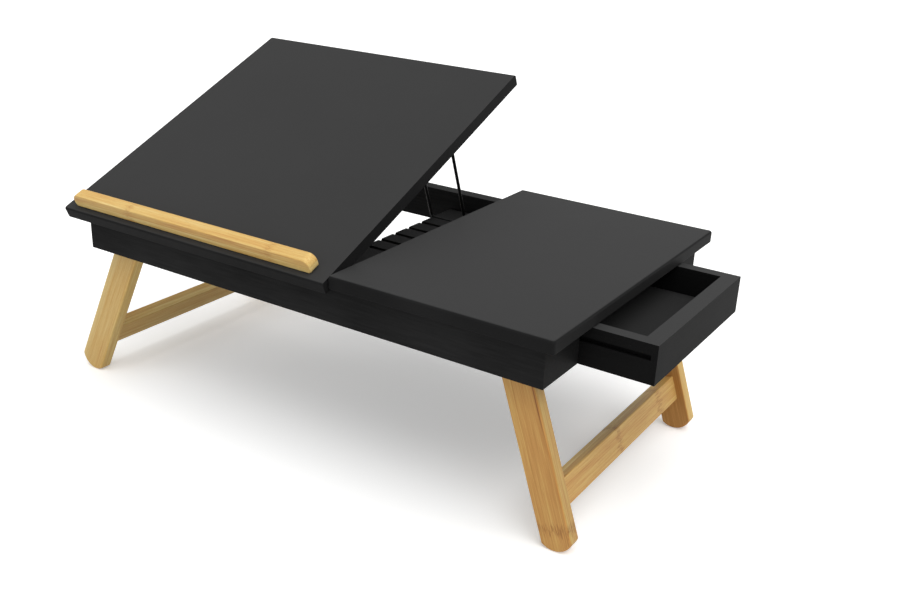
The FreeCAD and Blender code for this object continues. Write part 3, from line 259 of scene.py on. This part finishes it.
def glue_line(t, at, size):
    """1 where the count of strips or plies of that size comes to a whole number."""
    from_middle = t.math("ABSOLUTE", t.minus(t.math("FRACT", at), 0.5))
    return t.ramp(t.times(t.minus(0.5, from_middle), size), GLUE_CORE, GLUE_END, 1.0, 0.0)


def bamboo_group():
    """Laminated bamboo from a place along the grain, across the strips and through the plies."""
    made = bpy.data.node_groups.new("laminated_bamboo", "ShaderNodeTree")
    for name in BAMBOO_INPUTS:
        made.interface.new_socket(name, in_out="INPUT", socket_type="NodeSocketFloat")
    made.interface.new_socket("Color", in_out="OUTPUT", socket_type="NodeSocketColor")
    made.interface.new_socket("Roughness", in_out="OUTPUT", socket_type="NodeSocketFloat")
    made.interface.new_socket("Height", in_out="OUTPUT", socket_type="NodeSocketFloat")
    t = Tree(made)
    got = t.node("NodeGroupInput").outputs
    along, across, through, seed = got["Along"], got["Across"], got["Through"], got["Seed"]

    strip_at = t.plus(t.math("DIVIDE", across, got["Strip"]), STRIP_START)
    ply_at = t.plus(t.math("DIVIDE", through, got["Ply"]), PLY_START)
    cell = t.join(t.math("FLOOR", strip_at), t.math("FLOOR", ply_at), seed)
    strip_tone = t.white(cell)
    strip_slide = t.times(t.white(t.vector("ADD", cell, OTHER_DRAW)), STRIP_SLIDE)

    def layer(lengthwise, crosswise, detail, roughness):
        at = t.join(t.plus(t.times(along, lengthwise), strip_slide),
                    t.times(across, crosswise), t.times(through, crosswise))
        return t.noise(t.vector("ADD", at, t.join(seed, 0.0, 0.0)), 1.0, detail, roughness)

    fibres = layer(*FIBRES)
    tone = t.plus(got["Tone"], t.swing(strip_tone, STRIP_SHARE))
    lower = t.ramp(through, -PLY_LINE, PLY_LINE, 0.5, -0.5)
    tone = t.plus(tone, t.times(lower, got["Contrast"]))
    tone = t.plus(tone, t.swing(layer(*DRIFT), DRIFT_SHARE))
    tone = t.plus(tone, t.swing(layer(*STREAKS), STREAK_SHARE))
    tone = t.plus(tone, t.swing(fibres, FIBRE_SHARE), clamp=True)
    bundles = t.ramp(layer(*BUNDLES), BUNDLE_FROM, BUNDLE_FULL)
    colour = t.mix(t.times(bundles, BUNDLE_TINT), t.colours(tone, *BAMBOO_TONES), BUNDLE_BROWN)

    sideways = t.join(t.times(across, WANDER_WAVES), t.times(through, WANDER_WAVES), seed)
    marks, rings = knot_marks(t, got, t.swing(t.noise(sideways), MARK_WANDER))
    dashes = t.ramp(layer(*DASHES), DASH_FROM, DASH_FULL)
    mark_colour = t.mix(got["Mark"], MARK_FAINT, MARK_STRONG)
    colour = t.mix(t.times(t.times(marks, dashes), got["Mark"]), colour, mark_colour)
    colour = t.mix(t.times(t.times(rings, got["Mark"]), RING_TINT), colour, RING_BROWN)

    glue = t.math("MAXIMUM", glue_line(t, strip_at, got["Strip"]), glue_line(t, ply_at, got["Ply"]))
    colour = t.mix(t.times(glue, GLUE_TINT), colour, GLUE_BROWN)
    from_crack = t.math("ABSOLUTE", t.minus(across, got["Crack Across"]))
    opened = t.ramp(t.minus(along, got["Crack Above"]), 0.0, CRACK_FADE)
    crack = t.times(t.ramp(from_crack, CRACK_CORE, CRACK_END, 1.0, 0.0), opened)
    colour = t.mix(t.times(crack, CRACK_TINT), colour, CRACK_BROWN)

    height = t.minus(t.times(fibres, FIBRE_RISE), t.times(bundles, BUNDLE_DIP))
    height = t.minus(height, t.times(glue, GLUE_DIP))
    height = t.plus(height, t.times(rings, RING_RISE))

    out = t.node("NodeGroupOutput").inputs
    t.feed(out["Color"], colour)
    t.feed(out["Roughness"], t.plus(BAMBOO_ROUGH, t.times(fibres, FIBRE_ROUGH)))
    t.feed(out["Height"], height)
    return made


BAMBOO = bamboo_group()


def bamboo(name, origin, along, across, strip, ply, seed, knots, tone, mark=0.9, contrast=0.0,
           edge=(0.0, 0.0), crack=(FAR_OFF, FAR_OFF)):
    """Lacquered bamboo whose grain runs along one direction, with node marks at given places on it.

    Faces that look across the strips are shifted in tone and dimmed by the two shares of edge: partly the
    sawn edges' own tone, partly painted shade. A dark hairline lies at the first place of crack across, from
    its second place along.
    """
    made, t, surface = material(name)
    at = t.vector("SUBTRACT", t.place(), tuple(origin))
    through = Vector(along).cross(Vector(across))
    u, v, w = (t.vector("DOT_PRODUCT", at, tuple(axis)) for axis in (along, across, through))
    first, second = (list(knots) + [FAR_OFF, FAR_OFF])[:2]
    facing = t.vector("DOT_PRODUCT", t.outward(), tuple(across))
    on_edge = t.ramp(t.math("ABSOLUTE", facing), EDGE_FROM, EDGE_FULL)
    out = t.group(BAMBOO, Along=u, Across=v, Through=w, Seed=seed, Knot_A=first, Knot_B=second,
                  Mark=mark, Strip=strip, Ply=ply, Contrast=contrast, Crack_Across=crack[0],
                  Crack_Above=crack[1], Tone=t.plus(t.times(on_edge, edge[0]), tone))
    # Painted shade in part: faces that look across the strips are dimmed toward black.
    colour = t.mix(t.times(on_edge, edge[1]), out["Color"], BLACK)
    finish(t, surface, colour, out["Roughness"], out["Height"], BAMBOO_RELIEF,
           Specular_IOR_Level=BAMBOO_SHEEN)
    return made


# ---------------------------------------------------------------- the other finishes
PAINT_RELIEF, PAINT_SHEEN = 0.00004, 0.020
# Waves per metre, and each one's share of the tone and of the relief.
CLOUD_WAVES, PEEL_WAVES, DUST_WAVES, SPECK_WAVES = 11.0, 520.0, 2600.0, 1450.0
CLOUD_SHARE, DUST_SHARE, LINE_SHARE = 0.7, 0.3, 0.4
PEEL_RISE, DUST_RISE, LINE_RISE = 0.8, 0.2, 0.5
CLOUD_ROUGH = 0.12
SPECK_FROM, SPECK_FULL, SPECK_TINT = 0.80, 0.86, 0.5
SPECK_GREY = (0.03, 0.03, 0.03, 1.0)
# The painted top sheen's spread of grey, and the height in metres over which it fades in.
TOP_SHEEN_SPREAD, TOP_SHEEN_LINE = 0.04, 0.001
# How squarely a face looks some way where that side's grey starts, and where it is full.
TURNED, SQUARE = 0.75, 0.99
# Waves per metre along x, y and z of the wood's grain that shows faintly through the paint.
GRAIN_X = (25.0, 420.0, 420.0)
GRAIN_Y = (420.0, 25.0, 420.0)
FINE_GRAIN_X = (25.0, 500.0, 500.0)


def darker_and_lighter(shade, spread):
    """The two ends of a colour that varies by that share about its shade."""
    darker = tuple((1.0 - spread) * part for part in shade)
    lighter = tuple((1.0 + spread) * part for part in shade)
    return (0.3, darker), (0.7, lighter)


def paint(name, shade, gloss, grain=None, upward=Z, spread=0.24, painted_top_sheen=0.0320, painted_top_sheen_above=-FAR_OFF,
          painted_x_shading=None):
    """Sprayed black paint: clouds of tone, orange peel, dust, specks and a ghost of the wood's grain.

    Faces that look upward, above the height painted_top_sheen_above, have the paler grey painted_top_sheen:
    a painted sheen, the light that upward faces catch. Faces that look toward +X have the grey
    painted_x_shading,
    where one is given: painted light on that side where it is paler, painted shade where it is darker.
    """
    made, t, surface = material(name)
    at = t.place()
    clouds = t.noise(at, CLOUD_WAVES, detail=3.0)
    peel = t.noise(at, PEEL_WAVES, detail=2.0)
    dust = t.noise(at, DUST_WAVES, detail=1.0)
    lift = t.plus(t.times(clouds, CLOUD_SHARE), t.times(dust, DUST_SHARE))
    height = t.plus(t.times(peel, PEEL_RISE), t.times(dust, DUST_RISE))
    if grain is not None:
        lines = t.noise(t.vector("MULTIPLY", at, grain), detail=3.0, roughness=0.6)
        lift = t.plus(t.times(lift, 1.0 - LINE_SHARE), t.times(lines, LINE_SHARE))
        height = t.plus(height, t.times(lines, LINE_RISE))
    colour = t.colours(lift, *darker_and_lighter(shade, spread))
    outward = t.outward()
    # Painted light and shade: faces that look toward +X get a grey of their own.
    if painted_x_shading is not None:
        toward_x = t.ramp(t.vector("DOT_PRODUCT", outward, tuple(X)), TURNED, SQUARE)
        colour = t.mix(toward_x, colour, t.colours(lift, *darker_and_lighter((painted_x_shading,) * 3, spread)))
    # Painted sheen: faces that look upward get a paler grey, as the light falling on them would give.
    facing_up = t.ramp(t.vector("DOT_PRODUCT", outward, tuple(upward)), TURNED, SQUARE)
    above_sheen_height = t.ramp(t.vector("DOT_PRODUCT", at, tuple(Z)), painted_top_sheen_above - TOP_SHEEN_LINE, painted_top_sheen_above)
    painted_sheen_grey = t.colours(lift, *darker_and_lighter((painted_top_sheen,) * 3, TOP_SHEEN_SPREAD))
    colour = t.mix(t.times(facing_up, above_sheen_height), colour, painted_sheen_grey)
    speck = t.ramp(t.noise(at, SPECK_WAVES, detail=0.0), SPECK_FROM, SPECK_FULL)
    colour = t.mix(t.times(speck, SPECK_TINT), colour, SPECK_GREY)
    rough = t.plus(gloss, t.swing(clouds, CLOUD_ROUGH))
    finish(t, surface, colour, rough, height, PAINT_RELIEF, Specular_IOR_Level=PAINT_SHEEN)
    return made


def steel():
    """Zinc plating: small crystals of slightly different grey."""
    made, t, surface = material("zinc_steel")
    at = t.place()
    crystals = t.node("ShaderNodeTexVoronoi")
    t.feed(crystals.inputs["Vector"], at)
    crystals.inputs["Scale"].default_value = 420.0
    draw = t.white(crystals.outputs["Position"])
    tone = t.colours(draw, (0.0, (0.46, 0.46, 0.45)), (1.0, (0.66, 0.66, 0.65)))
    fine = t.noise(at, scale=1800.0, detail=2.0)
    rough = t.plus(0.28, t.times(fine, 0.2))
    finish(t, surface, tone, rough, fine, bump=0.00002, Metallic=1.0)
    return made


THREAD_WAVES = (60.0, 3200.0, 60.0)


def brass():
    """Threaded brass, turned about the y axis."""
    made, t, surface = material("brass_insert")
    turned = t.noise(t.vector("MULTIPLY", t.place(), THREAD_WAVES), detail=2.0)
    tone = t.colours(turned, (0.3, (0.52, 0.36, 0.13)), (0.7, (0.72, 0.54, 0.24)))
    rough = t.plus(0.24, t.times(turned, 0.15))
    finish(t, surface, tone, rough, turned, bump=0.00002, Metallic=1.0)
    return made


def beech():
    """Plain beech with short flecks."""
    made, t, surface = material("beech_dowel")
    flecks = t.noise(t.place(), scale=900.0, detail=3.0, roughness=0.6)
    tone = t.colours(flecks, (0.35, (0.42, 0.25, 0.13)), (0.6, (0.62, 0.43, 0.26)),
                     (0.8, (0.70, 0.51, 0.33)))
    finish(t, surface, tone, 0.7, flecks, bump=0.00005)
    return made


def wire():
    """Plastic-coated black wire."""
    made, t, surface = material("black_wire")
    ripple = t.noise(t.place(), scale=700.0, detail=2.0)
    tone = t.colours(ripple, (0.3, (0.0035, 0.0035, 0.0035)), (0.7, (0.0055, 0.0055, 0.0055)))
    rough = t.plus(0.40, t.times(ripple, 0.14))
    finish(t, surface, tone, rough, ripple, bump=0.00003, Specular_IOR_Level=0.14)
    return made


# ---------------------------------------------------------------- dressing the CAD nodes
def dress(finish_made, *names):
    for name in names:
        for slot in NODES[name].material_slots:
            slot.material = finish_made


def soften(width, *names):
    """Eases the sharp edges of boards and fittings by that many metres."""
    for name in names:
        item = NODES[name]
        weld = item.modifiers.new("weld", "WELD")
        weld.merge_threshold = 1e-5
        bevel = item.modifiers.new("eased_edges", "BEVEL")
        bevel.width = width
        bevel.segments = 2
        bevel.limit_method = "ANGLE"
        bevel.angle_limit = math.radians(40.0)
        bevel.use_clamp_overlap = False
        normals = item.modifiers.new("even_normals", "WEIGHTED_NORMAL")
        normals.keep_sharp = False
        normals.weight = 50


RAILS = ("front_rail", "rear_rail", "left_rail", "cross_rail", "right_end_near", "right_end_far",
         "runner_near", "runner_far")
DRAWER_SIDES = ("drawer_side_near", "drawer_side_far", "drawer_back")
RIM_DEPTH = 0.002
DRAWER_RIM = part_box("drawer_side_near")[1].z - RIM_DEPTH
# DRAWER_BLACK is darker than the rails' black as painted shade on the drawer's sides.
DRAWER_BLACK, DRAWER_TOP_SHEEN = (0.0070, 0.0070, 0.0071), 0.0440
GLOSS = 0.52
EASED_EDGE = 0.0002

# The greys given for faces toward +X are painted shade on the rails' right ends, and painted light on the
# drawer front and the fixed top's right edge.
# The greys given for upward faces are painted sheen on the tops, rims and floors of the boards.
dress(paint("black_rail", (0.0166, 0.0166, 0.0168), GLOSS, GRAIN_X, spread=0.5, painted_top_sheen=0.0210, painted_x_shading=0.0100),
      *RAILS)
dress(paint("black_drawer_front", DRAWER_BLACK, GLOSS, GRAIN_Y, painted_top_sheen=DRAWER_TOP_SHEEN, painted_top_sheen_above=DRAWER_RIM,
            painted_x_shading=0.0096), "drawer_front")
dress(paint("black_drawer_side", DRAWER_BLACK, GLOSS, GRAIN_X, painted_top_sheen=DRAWER_TOP_SHEEN, painted_top_sheen_above=DRAWER_RIM),
      *DRAWER_SIDES)
dress(paint("black_drawer_bottom", (0.0105, 0.0105, 0.0107), GLOSS, GRAIN_X, painted_top_sheen=0.0268), "drawer_bottom")
dress(paint("black_rack", (0.0100, 0.0097, 0.0090), 0.60, GRAIN_Y, painted_top_sheen=0.0205), "notched_rack")
dress(paint("black_strip", (0.0103, 0.0103, 0.0103), 0.50, FINE_GRAIN_X),
      "runner_strip_near", "runner_strip_far")
dress(wire(), "strut_wire")
dress(brass(), "leg_inserts")
dress(beech(), *[name for name in NODES if name.endswith("dowels")])
dress(steel(), "leg_spacers", "leg_pivot_bolts", "strut_brackets", "hinge_pins", "hinge_left_frame_leaf",
      "hinge_right_frame_leaf", "hinge_left_top_leaf", "hinge_right_top_leaf",
      *[name for name in NODES if name.endswith("screws")])
dress(paint("black_tilt_top", (0.0141, 0.0141, 0.0143), GLOSS, upward=TOP_NORMAL, painted_top_sheen=0.0414),
      "tilt_top_panel")
dress(paint("black_fixed_top", (0.0133, 0.0133, 0.0135), GLOSS, painted_top_sheen=0.0420, painted_x_shading=0.0185),
      "fixed_top_panel")

# Widths of a bamboo strip and heights of a ply on each kind of board.
LEDGE_STRIP, LEDGE_PLY = 0.034, 0.0072
LEG_STRIP, STRETCHER_STRIP, LEG_PLY = 0.0185, 0.0190, 0.0071

# Node marks lie along the grain from the ledge's middle, a leg's pivot or a stretcher's middle.
LEDGE = {"seed": 2.0, "knots": (-0.072, 0.105), "tone": 0.69, "mark": 0.55, "contrast": 0.10,
         "edge": (-0.16, 0.10)}
# The right legs' low tones are partly painted shade: they are darker and browner as they stand in the shade
# under the drawer and the fixed top.
LEGS = {
    "left_front_leg": {"seed": 1.0, "knots": (), "tone": 0.79},
    "left_rear_leg": {"seed": 6.0, "knots": (-0.060,), "tone": 0.68},
    "right_front_leg": {"seed": 12.0, "knots": (-0.163,), "tone": 0.32, "edge": (0.30, 0.24),
                        "crack": (0.0128, -0.085)},
    "right_rear_leg": {"seed": 17.0, "knots": (), "tone": 0.10, "edge": (0.50, 0.06)},
}
STRETCHERS = {
    "left_stretcher": {"seed": 23.0, "knots": (), "tone": 0.66, "mark": 0.75},
    "right_stretcher": {"seed": 24.0, "knots": (-0.008, 0.086), "tone": 0.58, "mark": 0.75},
}


def middle(name):
    """The middle of a node's box."""
    low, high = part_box(name)
    return (low + high) / 2


def dress_legs(side, splay):
    """Both legs of one side and their stretcher, with the grain along each board."""
    pivot = Vector(JOINTS[side + "_legs_fold"]["pos_m"])
    up_leg = Vector((math.sin(splay), 0.0, math.cos(splay)))
    across = Vector((up_leg.z, 0.0, -up_leg.x))
    for end in ("front", "rear"):
        name = "%s_%s_leg" % (side, end)
        origin = Vector((pivot.x, middle(name).y, pivot.z))
        dress(bamboo("bamboo_" + name, origin, up_leg, across, LEG_STRIP, LEG_PLY, **LEGS[name]), name)
    name = side + "_stretcher"
    dress(bamboo("bamboo_" + name, middle(name), Y, up_leg, STRETCHER_STRIP, LEG_PLY, **STRETCHERS[name]),
          name)


dress(bamboo("bamboo_ledge", middle("stop_ledge"), X, TOP_ALONG_DEPTH, LEDGE_STRIP, LEDGE_PLY, **LEDGE),
      "stop_ledge")
for side, splay in SPLAY.items():
    dress_legs(side, splay)

soften(EASED_EDGE, "notched_rack", "runner_strip_near", "runner_strip_far", "strut_brackets")


# ---------------------------------------------------------------- floor, light and camera
FLOOR_REACH = 8.0
FLOOR_LIT = (0.68, 0.68, 0.675, 1.0)      # its colour for the light that bounces on to the object
FLOOR_SEEN = (1.0, 1.0, 0.994, 1.0)
FLOOR_LIFT = 0.242      # makes up what the soft light leaves short of white
AMBIENT = 0.515

# Name, place, aim, strength and the angle across, in degrees.
LAMPS = (
    ("overhead", (0.76, -0.34, 2.0), (0.0, 0.0, 0.0), 1.85, 58.0),
    ("front_fill", (-0.3, -2.0, 0.9), (0.0, 0.0, 0.1), 0.41, 80.0),
    ("right_fill", (2.0, -0.5, 0.9), (0.0, 0.0, 0.1), 0.22, 80.0),
)

# The photograph's own view, solved from its edges and corners. The turn is in degrees.
CAMERA_PLACE = (0.583237, -0.82543, 0.533773)
CAMERA_TURN = (67.62882, -2.36500, 32.96929)
FOCAL_LENGTH, SENSOR_WIDTH = 42.574, 36.0


def seen_directly(tree):
    """1 for what the camera sees itself, mirrored or through glass, 0 for light that bounces on."""
    path = tree.node("ShaderNodeLightPath").outputs
    return tree.math("MAXIMUM", path["Is Camera Ray"],
                     tree.math("MAXIMUM", path["Is Glossy Ray"], path["Is Transmission Ray"]))


def floor():
    """Pale floor that keeps the shadow and is white to the eye and in reflections."""
    mesh = bpy.data.meshes.new("floor")
    corners = [(x * FLOOR_REACH, y * FLOOR_REACH, 0) for x, y in ((-1, -1), (1, -1), (1, 1), (-1, 1))]
    mesh.from_pydata(corners, [], [(0, 1, 2, 3)])
    item = bpy.data.objects.new("floor", mesh)
    bpy.context.scene.collection.objects.link(item)
    made = bpy.data.materials.new("floor")
    made.use_nodes = True
    made.node_tree.nodes.clear()
    t = Tree(made.node_tree)
    seen = seen_directly(t)
    matt = t.node("ShaderNodeBsdfDiffuse")
    t.feed(matt.inputs["Color"], t.mix(seen, FLOOR_LIT, FLOOR_SEEN))
    lift = t.node("ShaderNodeEmission")
    lift.inputs["Color"].default_value = WHITE
    t.feed(lift.inputs["Strength"], t.times(seen, FLOOR_LIFT))
    both = t.node("ShaderNodeAddShader")
    t.feed(both.inputs[0], matt.outputs[0])
    t.feed(both.inputs[1], lift.outputs[0])
    t.feed(t.node("ShaderNodeOutputMaterial").inputs["Surface"], both.outputs[0])
    mesh.materials.append(made)


def surroundings():
    """White to the eye and in reflections, plain dim light for everything else."""
    world = bpy.data.worlds.new("studio")
    bpy.context.scene.world = world
    world.use_nodes = True
    world.node_tree.nodes.clear()
    t = Tree(world.node_tree)
    back = t.node("ShaderNodeBackground")
    back.inputs["Color"].default_value = WHITE
    t.feed(back.inputs["Strength"], t.ramp(seen_directly(t), 0.0, 1.0, AMBIENT, 1.0))
    t.feed(t.node("ShaderNodeOutputWorld").inputs["Surface"], back.outputs[0])


def lamp(name, place, aim, strength, width):
    light = bpy.data.lights.new(name, "SUN")
    light.energy = strength
    light.angle = math.radians(width)
    item = bpy.data.objects.new(name, light)
    bpy.context.scene.collection.objects.link(item)
    item.location = place
    item.rotation_euler = (Vector(aim) - Vector(place)).to_track_quat("-Z", "Y").to_euler()


def camera():
    item = bpy.data.objects.new("camera", bpy.data.cameras.new("camera"))
    bpy.context.scene.collection.objects.link(item)
    item.data.sensor_width = SENSOR_WIDTH
    item.data.lens = FOCAL_LENGTH
    item.location = CAMERA_PLACE
    item.rotation_euler = [math.radians(angle) for angle in CAMERA_TURN]
    bpy.context.scene.camera = item


floor()
surroundings()
for values in LAMPS:
    lamp(*values)
camera()
bpy.context.scene.view_settings.view_transform = "Standard"
